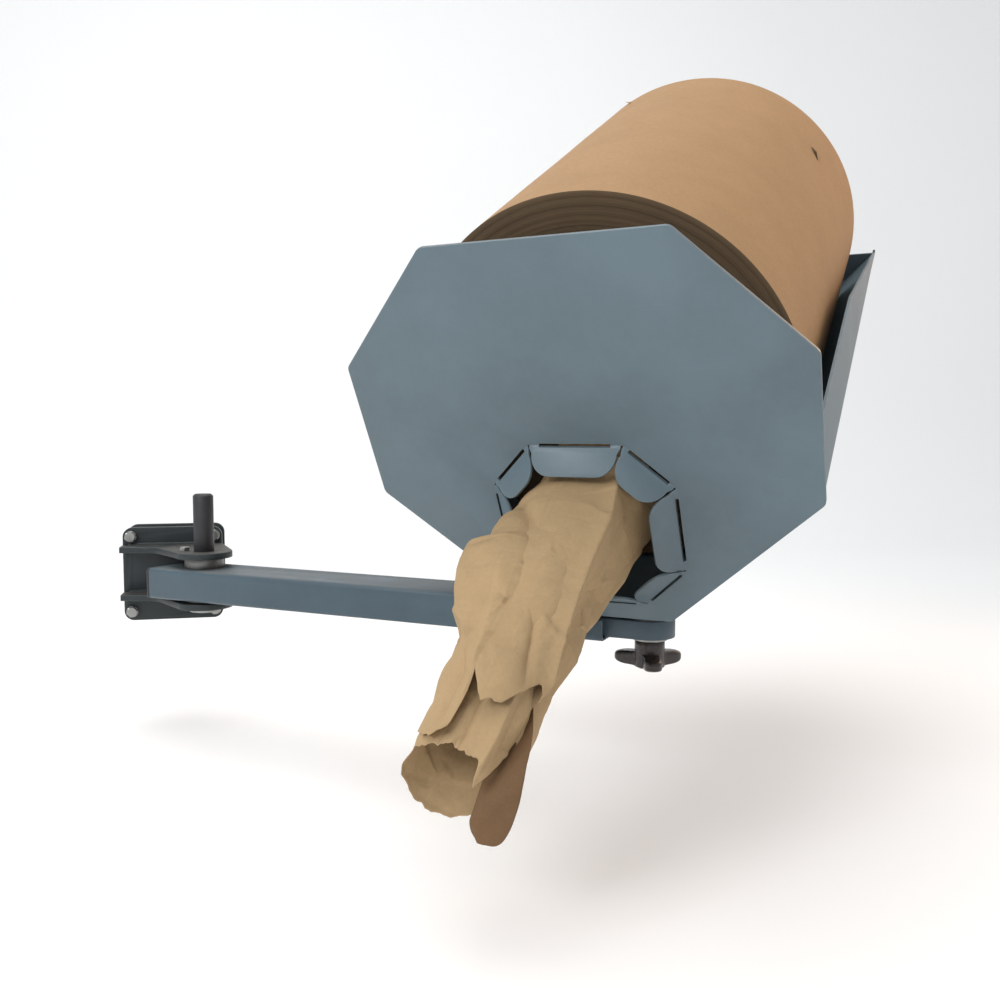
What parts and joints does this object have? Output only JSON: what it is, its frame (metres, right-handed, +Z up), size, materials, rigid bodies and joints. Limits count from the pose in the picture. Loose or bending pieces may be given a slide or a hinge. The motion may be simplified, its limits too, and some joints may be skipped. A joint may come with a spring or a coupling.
{
  "type": "kraft paper dispenser",
  "caption": "Swing-arm packing-paper dispenser: a clamp bracket, a tilted trough with a petalled outlet, a centre-pull kraft roll and a crumpled paper tail.",
  "frame": {"origin": "centre of the bracket plate's clamp face, where it meets the upright", "axes": "+Y into the upright, +X to the operator's right, +Z up; the operator stands at -Y"},
  "size_m": [0.7724, 0.6148, 0.5899],
  "materials": {
    "bracket_paint": "satin powder coat, near black",
    "arm_paint": "satin powder coat, dark blue-grey",
    "head_paint": "satin powder coat, dark blue-grey",
    "zinc": "zinc plated, dulled",
    "steel": "turned, oiled",
    "bearing_plastic": "moulded, black",
    "cap_plastic": "moulded, black",
    "knob_plastic": "moulded, black",
    "brass": "turned",
    "kraft": "unbleached kraft paper"
  },
  "bodies": {
    "bracket": {"bracket_plate": "bracket_paint", "clamp_back_plate": "bracket_paint", "clamp_bolts": "zinc", "clamp_washers": "zinc", "clamp_nuts": "zinc", "upper_flange": "bracket_paint", "lower_flange": "bracket_paint", "pivot_pin": "steel", "post_sleeve": "cap_plastic", "pin_retainer": "zinc", "flange_bolt": "zinc"},
    "arm": {"arm_tube": "arm_paint", "pivot_sleeve": "bearing_plastic", "upper_collar": "steel", "lower_collar": "steel", "inner_end_cap": "cap_plastic", "swivel_tongue": "arm_paint", "outer_end_cap": "cap_plastic", "spacer_sleeve": "steel", "glide_washer": "bearing_plastic"},
    "head": {"saddle_base": "head_paint", "saddle_cheek_left": "head_paint", "saddle_cheek_right": "head_paint", "front_plate": "head_paint", "side_wall_left": "head_paint", "slope_left": "head_paint", "trough_floor": "head_paint", "slope_right": "head_paint", "side_wall_right": "head_paint", "rear_panel": "head_paint", "roll_stop_left": "zinc", "roll_stop_right": "zinc", "pivot_stud": "steel", "stud_washer": "zinc", "stud_nut": "zinc"},
    "knob": {"clamp_washer": "zinc", "knob_insert": "brass", "knob_grip": "knob_plastic"},
    "roll": {"paper_roll": "kraft", "paper_feed": "kraft"},
    "tail": {"paper_tail": "kraft", "paper_strip": "kraft"}
  },
  "joints": [
    {"name": "arm_swing", "type": "hinge", "parent": "bracket", "child": "arm", "pos_m": [0.038, -0.076, 0], "axis": [0, 0, 1], "range_deg": [-120, 40]},
    {"name": "head_swivel", "type": "hinge", "parent": "arm", "child": "head", "pos_m": [0.40281, -0.34792, 0], "axis": [0, 0, 1], "range_deg": [-25, 120]},
    {"name": "knob_turn", "type": "hinge", "parent": "head", "child": "knob", "pos_m": [0.40281, -0.34792, 0], "axis": [0, 0, 1], "continuous": true},
    {"name": "roll_lift", "type": "slide", "parent": "head", "child": "roll", "axis": [-0.2852, -0.3826, 0.8788], "range_m": [0, 0.25]},
    {"name": "paper_pull", "type": "slide", "parent": "head", "child": "tail", "axis": [-0.5252, -0.7046, -0.4772], "range_m": [0, 0.05]}
  ]
}
